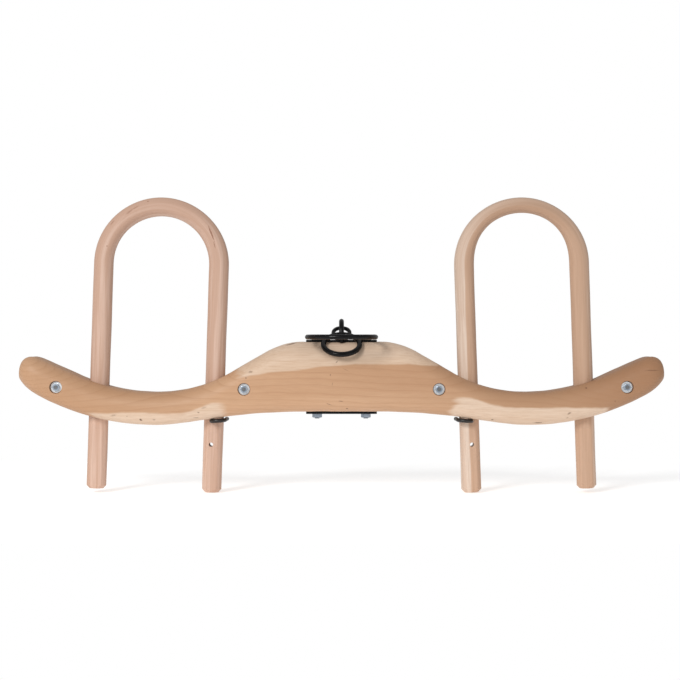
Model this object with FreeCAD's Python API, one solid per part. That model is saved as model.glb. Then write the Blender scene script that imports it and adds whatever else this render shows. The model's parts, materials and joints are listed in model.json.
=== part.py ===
"""Double ox yoke: a wooden beam with two bent bows, bow pins, tie bolts and a ringed staple.

The yoke is drawn belly up, as it is stored: the belly plate, the staple and its rings are on top,
the two bows stand above the neck seats, and their leg ends come out under the beam.

Frame, in millimetres: +X along the beam, +Y to the back, +Z up. The origin is the middle of the
crown plate's outer face, on the beam's middle plane.
"""
import FreeCAD
import Part
import math
import os
from FreeCAD import Vector as V

# ---- driving dimensions -------------------------------------------------------------------
BEAM_LENGTH = 1288.0
BEAM_THICKNESS = 114.0
BELLY_HEIGHT = 138.8        # wood between the crown plate and the belly plate
NECK_DEPTH = 64.7           # wood left over each animal's neck
SEAT_DROP = 26.9            # how far the crown falls from the middle to over a neck
SHOULDER_ANGLE = 30.3       # slope from the belly down to a neck seat, degrees
SHOULDER_RADIUS = 150.0
SEAT_RADIUS_IN = 300.0
SEAT_RADIUS_OUT = 380.0
HORN_ANGLE = 24.2           # slope of the beam's outer end, degrees
HORN_RADIUS = 490.0         # underside of the beam's outer end
BELLY_EDGE = 47.0           # roundings along the beam's four long edges
SEAT_EDGE = 34.0
CROWN_EDGE = 27.0
BODY_SECTIONS = 18          # sections from the middle to where the tip starts
TIP_ROUND = 44.0            # length of the rounded tip at each end
TIP_DROP = 20.0             # how far the tip's outermost point lies below the middle of the horn
TIP_SHARES = (0.3, 0.55, 0.76, 0.9, 0.975)   # where its sections stand, on a quarter ellipse

BOW_PITCH = 742.0           # bow centre to bow centre, at the level of the seats
BOW_SPACING = 232.0         # leg centre to leg centre
BOW_STOCK = 40.0
BOW_LEAN = 1.9              # each bow's top leans in towards the middle, degrees
BOW_CLEAR = 0.75            # radial clearance of a leg in its hole
BOW_ABOVE = 392.0           # seat bottom to the outside of the bow's top
BOW_BELOW = 132.3           # beam's underside at a neck to the leg ends
LEG_CHAMFER = 6.0
LEG_FLAT = 17.0             # half thickness of a leg where it is shaved flat for the pins
FLAT_BELOW = 3.0            # where the shaved stretch starts, below the beam's underside

PIN_STOCK = 8.0
PIN_HOLE = 8.6
PIN_PITCH = 48.0            # pin hole to spare hole
PIN_OFFSET = 3.0            # pin holes are bored this far off the leg's middle, towards the neck
PIN_TILT = 6.0              # the spring leg is turned up against the beam, degrees
PIN_TAIL = 9.0              # how far the shank stands out behind the leg
PIN_GAP = 0.4               # air between the pin, the leg and the beam
PIN_HOOK = 13.0             # the turned-out end of the spring leg

PLATE_LENGTH = 142.0
PLATE_WIDTH = 40.0
BELLY_PLATE_THICK = 4.4
CROWN_PLATE_THICK = 5.6
PLATE_BED = 0.4             # depth that each plate is let into the wood
BED_CLEAR = 0.5             # room at each end of a plate in its bed
PLATE_BOLT = 10.0
PLATE_BOLT_PITCH = 98.0
PLATE_HEAD = (24.0, 5.5)    # diameter and height of the domed head
PLATE_NUT = (17.0, 8.0)     # width across flats and height
THREAD_SHOW = 1.6           # bolt end past its nut

TIE_BOLT = 8.0
TIE_HEAD = (20.6, 4.4)
TIE_HEAD_BED = 1.2          # the domed heads are drawn into the back of the beam
TIE_NUT = (13.0, 6.5)
TIE_WASHER = (22.2, 2.0)
TIE_SINK = (25.0, 9.0)      # diameter and depth of each recess
TIE_INNER = (193.0, 44.8)   # place of the inner tie bolts: along the beam, above the crown plate's wood
TIE_OUTER = (565.0, 48.9)
HOLE_CLEAR = 0.3            # radial clearance of a bolt in its hole

STAPLE_STOCK = 10.0
STAPLE_HEIGHT = 42.4        # over the belly plate
RING_STOCK = 10.0
POLE_RING = 134.0           # mean diameters of the rings
CHAIN_RING = 72.0
LINK_RING = 33.0
LINK_STOCK = 8.0
CHAIN_RING_DROOP = 33.0     # degrees below level
LINK_TILT = 36.5            # degrees above level
CHAIN_GAP = 0.95            # air between the chain ring and the plate's front edge
BELLY_GAP = 1.2             # least air between the chain ring and the belly's rounding
LINK_ROOM = 8.0             # room between the link ring's stock and the staple's back leg
RING_GAP = 0.4              # air between the rings and the staple
WELD_BEAD = 2.6             # radius of the weld beads at the staple's feet

# ---- places worked out from them ----------------------------------------------------------
BELLY_Z = CROWN_PLATE_THICK + BELLY_HEIGHT          # wood at the belly, before the plate's bed
PLATE_TOP = BELLY_Z - PLATE_BED + BELLY_PLATE_THICK
SEAT_X = BOW_PITCH / 2
CROWN_SEAT_Z = CROWN_PLATE_THICK - SEAT_DROP        # underside of the beam at a neck
SEAT_Z = CROWN_SEAT_Z + NECK_DEPTH                  # bottom of the neck seat
HALF_T = BEAM_THICKNESS / 2
HALF_L = BEAM_LENGTH / 2
SLOPE = math.radians(SHOULDER_ANGLE)
HORN = math.radians(HORN_ANGLE)


def beam_top(x):
    """Height of the belly, shoulder, neck seat or horn at x: arcs joined by tangent lines."""
    x = abs(x)
    line_end = SEAT_X - SEAT_RADIUS_IN * math.sin(SLOPE)
    line_end_z = SEAT_Z + SEAT_RADIUS_IN * (1 - math.cos(SLOPE))
    arc_end_z = BELLY_Z - SHOULDER_RADIUS * (1 - math.cos(SLOPE))
    arc_end = line_end - (arc_end_z - line_end_z) / math.tan(SLOPE)
    flat_end = arc_end - SHOULDER_RADIUS * math.sin(SLOPE)
    horn_start = SEAT_X + SEAT_RADIUS_OUT * math.sin(HORN)
    if x <= flat_end:
        return BELLY_Z
    if x <= arc_end:
        return BELLY_Z - SHOULDER_RADIUS + math.sqrt(SHOULDER_RADIUS**2 - (x - flat_end) ** 2)
    if x <= line_end:
        return line_end_z + (line_end - x) * math.tan(SLOPE)
    if x <= SEAT_X:
        return SEAT_Z + SEAT_RADIUS_IN - math.sqrt(SEAT_RADIUS_IN**2 - (SEAT_X - x) ** 2)
    if x <= horn_start:
        return SEAT_Z + SEAT_RADIUS_OUT - math.sqrt(SEAT_RADIUS_OUT**2 - (x - SEAT_X) ** 2)
    start_z = SEAT_Z + SEAT_RADIUS_OUT * (1 - math.cos(HORN))
    return start_z + (x - horn_start) * math.tan(HORN)


def beam_bottom(x):
    """Height of the crown side at x: an ogee from the middle to over the neck, then one arc."""
    x = abs(x)
    if x <= SEAT_X:
        u = (x / SEAT_X) ** 1.8
        return CROWN_PLATE_THICK - SEAT_DROP * u * u * (3 - 2 * u)
    return CROWN_SEAT_Z + HORN_RADIUS - math.sqrt(HORN_RADIUS**2 - (x - SEAT_X) ** 2)


def edge_radii(x):
    """Rounding of the upper and lower long edges at x."""
    u = min(1.0, abs(x) / (SEAT_X - BOW_SPACING / 2))
    blend = u * u * (3 - 2 * u)
    return BELLY_EDGE + (SEAT_EDGE - BELLY_EDGE) * blend, CROWN_EDGE


def section(x, low, high, half_t, r_high, r_low):
    """Closed section of the beam at x: a rectangle with four round corners, always eight edges."""
    room = (high - low) * 0.49
    r_high = min(r_high, room, half_t * 0.9)
    r_low = min(r_low, room, half_t * 0.9)
    k = math.sqrt(0.5)

    def corner(cy, cz, r, start, middle, end):
        points = [V(x, cy + r * a, cz + r * b) for a, b in (start, middle, end)]
        return Part.Arc(*points).toShape()

    arcs = [
        corner(half_t - r_low, low + r_low, r_low, (0, -1), (k, -k), (1, 0)),
        corner(half_t - r_high, high - r_high, r_high, (1, 0), (k, k), (0, 1)),
        corner(-half_t + r_high, high - r_high, r_high, (0, 1), (-k, k), (-1, 0)),
        corner(-half_t + r_low, low + r_low, r_low, (-1, 0), (-k, -k), (0, -1)),
    ]
    edges = []
    for i, arc in enumerate(arcs):
        following = arcs[(i + 1) % 4]
        edges.append(arc)
        edges.append(Part.makeLine(arc.Vertexes[-1].Point, following.Vertexes[0].Point))
    return Part.Wire(edges)


def beam_blank():
    """The carved beam before drilling, lofted from the middle to each tip and joined."""
    body_end = HALF_L - TIP_ROUND
    stations = [body_end * i / BODY_SECTIONS for i in range(BODY_SECTIONS + 1)]
    wires = []
    for x in stations:
        r_high, r_low = edge_radii(x)
        wires.append(section(x, beam_bottom(x), beam_top(x), HALF_T, r_high, r_low))
    for share in TIP_SHARES:
        x = body_end + TIP_ROUND * share / TIP_SHARES[-1]
        keep = math.sqrt(1 - share**2)
        half_height = (beam_top(x) - beam_bottom(x)) / 2
        middle = beam_bottom(x) + half_height - TIP_DROP * (1 - keep)
        r_high, r_low = edge_radii(x)
        wires.append(section(
            x,
            middle - half_height * keep,
            middle + half_height * keep,
            HALF_T * (0.35 + 0.65 * keep),
            r_high * (0.4 + 0.6 * keep),
            r_low * (0.4 + 0.6 * keep),
        ))
    half = Part.makeLoft(wires, True, False)
    other = half.mirror(V(0, 0, 0), V(1, 0, 0))
    return half.fuse(other)


def rod(radius, start, end):
    """Cylinder from one point to another."""
    line = end - start
    return Part.makeCylinder(radius, line.Length, start, line)


def bow_place(side):
    """Placement of a bow: its local Z leans with the bow, its origin is at the seat bottom."""
    lean = FreeCAD.Rotation(V(0, 1, 0), -side * BOW_LEAN)
    return FreeCAD.Placement(V(side * SEAT_X, 0, SEAT_Z), lean)


def placed(shape, side):
    """Shape moved from a bow's own frame to the yoke's."""
    moved = shape.copy()
    moved.Placement = bow_place(side).multiply(moved.Placement)
    return moved


def bow_levels(side):
    """Heights in the bow's frame: arc centre, pin, spare hole and leg end."""
    arc = BOW_ABOVE - BOW_SPACING / 2 - BOW_STOCK / 2
    inner_x = SEAT_X - BOW_SPACING / 2
    under = beam_bottom(inner_x + PIN_STOCK)
    pin = under - SEAT_Z - PIN_STOCK / 2 - PIN_GAP + BOW_SPACING / 2 * math.sin(math.radians(BOW_LEAN))
    end = CROWN_SEAT_Z - BOW_BELOW - SEAT_Z
    return arc, pin, pin - PIN_PITCH, end


def bow(side):
    """One bent bow: round stock in a U, legs shaved flat near the ends and drilled for the pin."""
    arc, pin, spare, end = bow_levels(side)
    half, r = BOW_SPACING / 2, BOW_STOCK / 2
    top = Part.makeBox(4 * half, 4 * r, 2 * half, V(-2 * half, -2 * r, arc))
    solid = Part.makeTorus(half, r, V(0, 0, arc), V(0, 1, 0)).common(top)
    flat_top = CROWN_SEAT_Z - SEAT_Z - FLAT_BELOW
    for x in (-half, half):
        leg = rod(r, V(x, 0, end), V(x, 0, arc))
        rims = [e for e in leg.Edges if abs(e.BoundBox.ZMax - end) < 1e-6]
        leg = leg.makeChamfer(LEG_CHAMFER, rims)
        for face in (-1, 1):
            shave = Part.makeBox(4 * r, 2 * r, flat_top - end + r, V(x - 2 * r, 0, end - r))
            shave.translate(V(0, LEG_FLAT if face > 0 else -LEG_FLAT - 2 * r, 0))
            leg = leg.cut(shave)
        solid = solid.fuse(leg)
    inner = -side * (half - PIN_OFFSET)
    for z in (pin, spare):
        solid = solid.cut(rod(PIN_HOLE / 2, V(inner, -2 * r, z), V(inner, 2 * r, z)))
    return placed(solid.removeSplitter(), side)


def bow_pin(side):
    """Hairpin bow pin: a shank through the leg, a bend in front, a spring leg along the leg's side."""
    pin = bow_levels(side)[1]
    inner, inward = -side * (BOW_SPACING / 2 - PIN_OFFSET), -side
    r = PIN_STOCK / 2
    reach = PIN_OFFSET + BOW_STOCK / 2 + r + PIN_GAP
    bend = reach / 2
    front = -BOW_STOCK / 2 - r - PIN_GAP
    back = BOW_STOCK / 2 + PIN_TAIL
    shank_end = V(inner, back, pin)
    bend_in = V(inner, front, pin)
    bend_top = V(inner + inward * bend, front - bend, pin)
    bend_out = V(inner + inward * reach, front, pin)
    leg_end = V(inner + inward * reach, BOW_STOCK / 4, pin)
    hook_end = leg_end + V(inward * PIN_HOOK * 0.12, PIN_HOOK, 0)
    path = Part.Wire([
        Part.makeLine(shank_end, bend_in),
        Part.Arc(bend_in, bend_top, bend_out).toShape(),
        Part.makeLine(bend_out, leg_end),
    ])
    profile = Part.Wire(Part.makeCircle(r, shank_end, V(0, -1, 0)))
    wire = path.makePipeShell([profile], True, True)
    joint = Part.makeSphere(r, leg_end)
    wire = wire.fuse(joint).fuse(rod(r, leg_end, hook_end)).fuse(Part.makeSphere(r, hook_end))
    tip = Part.makeCone(r, r * 0.5, r, shank_end, V(0, 1, 0))
    pin_shape = wire.fuse(tip).removeSplitter()
    turn = FreeCAD.Rotation(V(0, 1, 0), side * PIN_TILT)
    pin_shape.Placement = FreeCAD.Placement(V(0, 0, 0), turn, V(inner, 0, pin))
    return placed(pin_shape, side)


def ball_radius(diameter, height):
    """Radius of the sphere whose cap has this diameter and height."""
    return ((diameter / 2) ** 2 + height**2) / (2 * height)


def dome(diameter, height, place, axis):
    """Low domed bolt head: the cap of a sphere, standing on its flat side."""
    ball = ball_radius(diameter, height)
    cap = Part.makeSphere(ball, V(0, 0, height - ball))
    cap = cap.common(Part.makeBox(diameter * 2, diameter * 2, height * 2, V(-diameter, -diameter, 0)))
    cap.Placement = FreeCAD.Placement(place, FreeCAD.Rotation(V(0, 0, 1), axis))
    return cap


def hex_nut(flats, height, bore, place, axis):
    """Hexagon nut with chamfered corners and a plain hole."""
    corner = flats / math.sqrt(3)
    points = [V(corner * math.cos(math.radians(60 * i)), corner * math.sin(math.radians(60 * i)), 0)
              for i in range(7)]
    nut = Part.Face(Part.makePolygon(points)).extrude(V(0, 0, height))
    slope = (corner - flats / 2) * 1.15
    shoulder = height - 2.2 * slope
    cone = Part.makeCone(corner + 4 * slope, flats / 2 * 0.98, 2.2 * slope, V(0, 0, shoulder), V(0, 0, 1))
    drum = Part.makeCylinder(corner * 2, shoulder)
    nut = nut.common(drum.fuse(cone))
    nut = nut.cut(Part.makeCylinder(bore, height * 3, V(0, 0, -height)))
    nut.Placement = FreeCAD.Placement(place, FreeCAD.Rotation(V(0, 0, 1), axis))
    return nut


def tie_places():
    """Name and place of each tie bolt on the beam's middle plane."""
    places = []
    for name, (x, z) in (("inner", TIE_INNER), ("outer", TIE_OUTER)):
        for word, side in (("left", -1), ("right", 1)):
            places.append((f"{name}_{word}", V(side * x, 0, CROWN_PLATE_THICK + z)))
    return places


def bolt_xs():
    """Name and X of each plate bolt."""
    return [("left", -PLATE_BOLT_PITCH / 2), ("right", PLATE_BOLT_PITCH / 2)]


def beam():
    """The beam with its bow holes, bolt holes, recesses and plate beds."""
    wood = beam_blank()
    far = 4 * BELLY_HEIGHT
    for side in (-1, 1):
        for x in (-BOW_SPACING / 2, BOW_SPACING / 2):
            hole = rod(BOW_STOCK / 2 + BOW_CLEAR, V(x, 0, -far), V(x, 0, far))
            wood = wood.cut(placed(hole, side))
    for _, x in bolt_xs():
        wood = wood.cut(rod(PLATE_BOLT / 2 + HOLE_CLEAR, V(x, 0, -far), V(x, 0, far)))
    for _, p in tie_places():
        through = V(0, BEAM_THICKNESS, 0)
        wood = wood.cut(rod(TIE_BOLT / 2 + HOLE_CLEAR, p - through, p + through))
        floor = V(p.x, -HALF_T + TIE_SINK[1], p.z)
        wood = wood.cut(rod(TIE_SINK[0] / 2, floor, floor - through))
        bed = V(p.x, HALF_T - TIE_HEAD_BED, p.z)
        wood = wood.cut(rod(TIE_HEAD[0] / 2 + HOLE_CLEAR, bed, bed + through))
    length, deep = PLATE_LENGTH + 2 * BED_CLEAR, 10 * PLATE_BED
    for low in (BELLY_Z - PLATE_BED, CROWN_PLATE_THICK - deep):
        wood = wood.cut(Part.makeBox(length, BEAM_THICKNESS, deep, V(-length / 2, -HALF_T, low)))
    return wood


def plate(low, thick):
    """Flat iron plate with softened ends, drilled for the two plate bolts."""
    half = PLATE_LENGTH / 2
    solid = Part.makeBox(PLATE_LENGTH, PLATE_WIDTH, thick, V(-half, -PLATE_WIDTH / 2, low))
    uprights = [e for e in solid.Edges if abs(e.tangentAt(e.FirstParameter).z) > 0.9]
    solid = solid.makeFillet(5.0, uprights)
    rims = [e for e in solid.Edges if abs(e.tangentAt(e.FirstParameter).z) < 0.1]
    solid = solid.makeFillet(0.9, rims)
    for _, x in bolt_xs():
        solid = solid.cut(rod(PLATE_BOLT / 2 + HOLE_CLEAR, V(x, 0, low - thick), V(x, 0, low + 2 * thick)))
    return solid


def staple_half():
    """Half the distance between the staple's legs, which stand against the plate's long edges."""
    return PLATE_WIDTH / 2 + STAPLE_STOCK / 2


def staple():
    """Round bar bent to a U across the belly plate, its feet welded to the plate's edges."""
    half, r = staple_half(), STAPLE_STOCK / 2
    foot = PLATE_TOP - BELLY_PLATE_THICK
    arc = PLATE_TOP + STAPLE_HEIGHT - r - half
    path = Part.Wire([
        Part.makeLine(V(0, -half, foot), V(0, -half, arc)),
        Part.Arc(V(0, -half, arc), V(0, 0, arc + half), V(0, half, arc)).toShape(),
        Part.makeLine(V(0, half, arc), V(0, half, foot)),
    ])
    profile = Part.Wire(Part.makeCircle(r, V(0, -half, foot), V(0, 0, 1)))
    return path.makePipeShell([profile], True, True)


def staple_welds(bar):
    """A weld bead along the top of each plate edge, both sides of each staple leg."""
    beads = []
    for side in (-1, 1):
        y = side * PLATE_WIDTH / 2
        start, end = V(-STAPLE_STOCK, y, PLATE_TOP), V(STAPLE_STOCK, y, PLATE_TOP)
        bead = rod(WELD_BEAD, start, end)
        for tip in (start, end):
            bead = bead.fuse(Part.makeSphere(WELD_BEAD, tip))
        over_plate = Part.makeBox(80, 30, 20, V(-40, y - (30 if side > 0 else 0), PLATE_TOP))
        bead = bead.common(over_plate)
        beads.append(bead.cut(bar))
    return Part.makeCompound(beads)


def pole_ring_height(pivot_y):
    """Height of the pole ring's middle: it lies level, clear of the domed bolt heads and the plate."""
    ball = ball_radius(*PLATE_HEAD)
    ball_z = PLATE_TOP + PLATE_HEAD[1] - ball
    off_axis = math.hypot(PLATE_BOLT_PITCH / 2, pivot_y - POLE_RING / 2) - POLE_RING / 2
    reach = ball + RING_STOCK / 2 + RING_GAP
    over_head = ball_z + math.sqrt(max(0.0, reach**2 - off_axis**2))
    return max(over_head, PLATE_TOP + RING_STOCK / 2 + RING_GAP)


def chain_ring_height(pivot_y):
    """Height of the chain ring's pivot: the ring slopes down clear of the plate's edge and the belly."""
    droop, r = math.radians(CHAIN_RING_DROOP), RING_STOCK / 2
    past_edge = pivot_y + PLATE_WIDTH / 2
    over_plate = PLATE_TOP + CHAIN_GAP + r / math.cos(droop) + past_edge * math.tan(droop)
    round_y, round_z = BELLY_EDGE - HALF_T, BELLY_Z - BELLY_EDGE
    clear = BELLY_EDGE + r + BELLY_GAP
    over_belly = round_z + (clear + (pivot_y - round_y) * math.sin(droop)) / math.cos(droop)
    return max(over_plate, over_belly)


def ring_pivots():
    """Where each ring's stock crosses the middle plane inside the staple, as (y, z)."""
    r, link_r = RING_STOCK / 2, LINK_STOCK / 2
    chain_y = -PLATE_WIDTH / 2 + r + RING_GAP
    chain = (chain_y, chain_ring_height(chain_y))
    pole_y = chain[0] + 2 * r + RING_GAP
    pole = (pole_y, pole_ring_height(pole_y))
    beside_pole = pole_y + r + RING_GAP + link_r
    link = (max(beside_pole, PLATE_WIDTH / 2 - LINK_ROOM - link_r), PLATE_TOP + link_r + RING_GAP)
    return pole, chain, link


def ring(mean_diameter, stock, pivot, angle):
    """Closed ring through pivot; from there its plane runs at angle above +Y."""
    radius = mean_diameter / 2
    a = math.radians(angle)
    along = V(0, math.cos(a), math.sin(a))
    normal = V(0, -math.sin(a), math.cos(a))
    centre = V(0, *pivot) + along * radius
    return Part.makeTorus(radius, stock / 2, centre, normal)


def save(node, shape):
    """Writes one node, after checking that its solids are sound."""
    solids = shape.Solids
    assert solids and shape.isValid(), node
    kept = solids[0] if len(solids) == 1 else Part.makeCompound(solids)
    assert all(s.Volume > 0 for s in solids), node
    kept.exportStep(f"parts/{node}.step")
    print(f"{node:24s} solids {len(solids)} volume {shape.Volume / 1000:9.2f} cm3")


def main():
    """Builds every piece of the yoke and writes it."""
    os.makedirs("parts", exist_ok=True)
    save("beam", beam())
    save("belly_plate", plate(PLATE_TOP - BELLY_PLATE_THICK, BELLY_PLATE_THICK))
    save("crown_plate", plate(0.0, CROWN_PLATE_THICK))
    bar = staple()
    save("staple", bar)
    save("staple_welds", staple_welds(bar))
    pole, chain, link = ring_pivots()
    save("pole_ring", ring(POLE_RING, RING_STOCK, pole, 180.0))
    save("chain_ring", ring(CHAIN_RING, RING_STOCK, chain, 180.0 + CHAIN_RING_DROOP))
    save("link_ring", ring(LINK_RING, LINK_STOCK, link, LINK_TILT))
    for word, side in (("left", -1), ("right", 1)):
        save(f"bow_{word}", bow(side))
        save(f"bow_pin_{word}", bow_pin(side))
    for word, x in bolt_xs():
        foot = -PLATE_NUT[1] - THREAD_SHOW
        shank = rod(PLATE_BOLT / 2, V(x, 0, foot), V(x, 0, PLATE_TOP))
        head = dome(*PLATE_HEAD, V(x, 0, PLATE_TOP), V(0, 0, 1))
        save(f"plate_bolt_{word}", shank.fuse(head))
        save(f"plate_nut_{word}", hex_nut(*PLATE_NUT, PLATE_BOLT / 2, V(x, 0, 0), V(0, 0, -1)))
    for word, p in tie_places():
        floor = V(p.x, -HALF_T + TIE_SINK[1], p.z)
        back = V(p.x, HALF_T - TIE_HEAD_BED, p.z)
        washer_face = floor - V(0, TIE_WASHER[1], 0)
        end = washer_face - V(0, TIE_NUT[1] + THREAD_SHOW, 0)
        shank = rod(TIE_BOLT / 2, end, back)
        save(f"tie_bolt_{word}", shank.fuse(dome(*TIE_HEAD, back, V(0, 1, 0))))
        washer = rod(TIE_WASHER[0] / 2, washer_face, floor)
        save(f"tie_washer_{word}", washer.cut(rod(TIE_BOLT / 2 + HOLE_CLEAR, end, back)))
        save(f"tie_nut_{word}", hex_nut(*TIE_NUT, TIE_BOLT / 2, washer_face, V(0, -1, 0)))


main()
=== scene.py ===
# %% [markdown]
# # A double ox yoke
#
# The yoke is shown belly up: a carved beam with two neck seats, two steam-bent bows that stand in
# it, hairpin pins under the beam, and an iron staple with three rings on the belly plate.
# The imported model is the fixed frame. It says where every piece is and how it moves, and the shapes
# below are drawn around it. Measures that it doesn't hold are named at the top of each cell. They
# repeat the design's values, except for the chain ring's bar.

import json

import bpy
import numpy as np
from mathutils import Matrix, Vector


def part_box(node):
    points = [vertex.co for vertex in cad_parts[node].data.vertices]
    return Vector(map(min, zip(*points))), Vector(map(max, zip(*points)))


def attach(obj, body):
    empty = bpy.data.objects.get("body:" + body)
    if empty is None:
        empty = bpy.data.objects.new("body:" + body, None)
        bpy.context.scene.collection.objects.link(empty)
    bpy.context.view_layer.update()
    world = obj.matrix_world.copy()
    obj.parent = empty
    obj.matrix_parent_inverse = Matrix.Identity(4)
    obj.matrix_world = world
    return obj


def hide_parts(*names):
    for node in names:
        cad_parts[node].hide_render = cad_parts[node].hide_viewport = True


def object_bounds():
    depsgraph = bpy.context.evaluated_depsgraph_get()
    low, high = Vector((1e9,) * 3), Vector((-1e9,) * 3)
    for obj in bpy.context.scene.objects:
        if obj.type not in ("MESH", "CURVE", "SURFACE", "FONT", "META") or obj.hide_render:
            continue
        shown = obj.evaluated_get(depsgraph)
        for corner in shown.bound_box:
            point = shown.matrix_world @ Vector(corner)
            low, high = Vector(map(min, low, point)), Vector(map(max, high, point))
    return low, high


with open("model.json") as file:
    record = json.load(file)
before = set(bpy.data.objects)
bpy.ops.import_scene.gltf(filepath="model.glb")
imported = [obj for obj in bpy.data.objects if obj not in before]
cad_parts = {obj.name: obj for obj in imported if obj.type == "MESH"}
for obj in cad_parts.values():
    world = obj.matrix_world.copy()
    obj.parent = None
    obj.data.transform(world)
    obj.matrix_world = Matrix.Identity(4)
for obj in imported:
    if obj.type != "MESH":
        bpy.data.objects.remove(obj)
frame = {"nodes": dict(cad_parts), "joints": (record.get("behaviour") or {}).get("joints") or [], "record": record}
cad_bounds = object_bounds()
record = frame["record"]
MM = 0.001

# %% [markdown]
# ## A grid becomes a mesh
#
# Every new piece is a surface of two parameters, held as an array of points: rows along the piece
# and columns around it. Blender wants vertices and faces, and both can be written as whole arrays.
# Columns always close on themselves here. Rows close too on a ring, and get a flat cap at each end
# on a rod. A UV map in metres goes with the grid, so that grain can follow a bend.


# %% Grid helpers
def signed_volume(points, faces):
    """Volume by the divergence theorem: the sum of a . (b x c) / 6 over triangles of the faces."""
    a, b, c, d = (points[faces[:, i]] for i in range(4))
    first = np.einsum("ij,ij->i", a, np.cross(b, c)).sum()
    second = np.einsum("ij,ij->i", a, np.cross(c, d)).sum()
    return first + second


def grid_object(name, grid, ring=False, uv=None):
    """Mesh object from grid[row, column, xyz], closed around its columns, with capped or joined ends."""
    rows, columns, _ = grid.shape
    points = grid.reshape(-1, 3)
    r = np.arange(rows if ring else rows - 1)[:, None]
    c = np.arange(columns)[None, :]
    after_r, after_c = (r + 1) % rows, (c + 1) % columns
    quads = np.stack([r * columns + c, after_r * columns + c, after_r * columns + after_c,
                      r * columns + after_c], axis=-1).reshape(-1, 4)
    flip = signed_volume(points, quads) < 0
    if flip:
        quads = quads[:, ::-1]
    faces = quads.tolist()
    if not ring:
        first, last = np.arange(columns), (rows - 1) * columns + np.arange(columns)
        caps = (first[::-1], last) if flip else (first, last[::-1])
        faces += [cap.tolist() for cap in caps]
    mesh = bpy.data.meshes.new(name)
    mesh.from_pydata(points.tolist(), [], faces)
    if uv is not None:
        layer = mesh.uv_layers.new(name="along")
        loops = np.zeros(len(mesh.loops), np.int32)
        mesh.loops.foreach_get("vertex_index", loops)
        layer.data.foreach_set("uv", uv.reshape(-1, 2)[loops].astype(np.float32).ravel())
    mesh.validate()
    smooth(mesh)
    made = bpy.data.objects.new(name, mesh)
    bpy.context.scene.collection.objects.link(made)
    return made


def smooth(mesh, sharp_over=34.0):
    """Shades smooth, except across edges that turn by more than sharp_over degrees."""
    mesh.shade_smooth()
    mesh.set_sharp_from_angle(angle=np.radians(sharp_over))


# %% [markdown]
# ## Rods that follow a path
#
# Bows, rings, pins and the staple are all bar or stick bent in one plane. A profile is carried
# along the path: at each point one side direction lies in the bend's plane and the other is the
# plane's own normal, so the profile never twists.


# %% Sweep and cutters
def sweep(path, plane_normal, across, upward):
    """Grid of path + across * side + upward * normal, where side = tangent x plane normal."""
    tangent = np.gradient(path, axis=0)
    return frame_rows(path, tangent, plane_normal, across, upward)


def frame_rows(path, tangent, plane_normal, across, upward):
    """Places the profile offsets across and upward at each path point, square to its tangent."""
    tangent = tangent / np.linalg.norm(tangent, axis=1, keepdims=True)
    normal = np.asarray(plane_normal, float)
    normal = normal / np.linalg.norm(normal)
    side = np.cross(tangent, normal)
    return path[:, None, :] + across[..., None] * side[:, None, :] + upward[..., None] * normal


def round_profile(rows, radius, sides=32):
    """Circle offsets (across, upward) for every row. radius is one number or one for each row."""
    angle = np.linspace(0, 2 * np.pi, sides, endpoint=False)
    radius = np.broadcast_to(np.asarray(radius, float), (rows,))[:, None]
    return radius * np.cos(angle), radius * np.sin(angle)


def cylinder_grid(start, end, radius, sides=64):
    """Two rows of a circle, from start to end."""
    start, end = np.asarray(start, float), np.asarray(end, float)
    axis = (end - start) / np.linalg.norm(end - start)
    other = np.cross(axis, [1.0, 0, 0] if abs(axis[0]) < 0.7 else [0, 1.0, 0])
    path = np.stack([start, end])
    across, upward = round_profile(2, radius, sides)
    return frame_rows(path, np.stack([axis, axis]), other, across, upward)


def cut(piece, cylinders):
    """Cuts cylinders, each (start, end, radius), out of a piece and keeps the finished mesh."""
    cutters = [grid_object("cutter", cylinder_grid(*c)) for c in cylinders]
    for cutter in cutters:
        step = piece.modifiers.new("cut", "BOOLEAN")
        step.operation, step.solver, step.object = "DIFFERENCE", "EXACT", cutter
    finished = bpy.data.meshes.new_from_object(piece.evaluated_get(bpy.context.evaluated_depsgraph_get()))
    piece.modifiers.clear()
    piece.data = finished
    for cutter in cutters:
        bpy.data.objects.remove(cutter)
    smooth(finished)
    return piece


# %% [markdown]
# ## Reading the frame
#
# The record names the joints and mounts. A bow's slide axis gives its lean, its neck seat gives
# its place, and the rings' hinges give where their bars pass through the staple. The beam's ends
# and faces come from the boxes of its node and of the two plates.

# %% Places from the frame
joints = {j["name"]: j for j in frame["joints"]}
mounts = {m["name"]: m for m in record["mounts"]}
SIDES = (("left", -1), ("right", 1))


def box(node):
    """Lowest and highest corner of a node as arrays."""
    low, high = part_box(node)
    return np.array(low), np.array(high)


beam_low, beam_high = box("beam")
HALF_LENGTH = beam_high[0]
HALF_THICK = min(beam_high[1], 57 * MM)   # the beam's own; its node's box is a little wider
BELLY_BED, CROWN_BED = box("belly_plate")[0][2], box("crown_plate")[1][2]
BED_ROOM, BED_DEPTH = 0.5 * MM, 0.4 * MM   # a plate's bed: room at each end, and depth
BED_HALF = box("belly_plate")[1][0] + BED_ROOM
BELLY, CROWN = BELLY_BED + BED_DEPTH, CROWN_BED
SEAT_X, SEAT_Z = mounts["neck_seat_right"]["pos_m"][0], mounts["neck_seat_right"]["pos_m"][2]
UNDER_SEAT = beam_low[2]
print(f"beam {2 * HALF_LENGTH:.3f} m long, seats at x = {SEAT_X:.3f}, z = {SEAT_Z:.3f}")

# %% [markdown]
# ## The beam's outline
#
# A yoke is sawn from one thick plank, so its outline is the same from front to back. The belly is
# flat, and runs through a round shoulder and a straight slope into the neck seat, an arc. A flatter
# arc and a straight horn follow. The crown side is an ogee up to the neck, and one long arc beyond.

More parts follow.
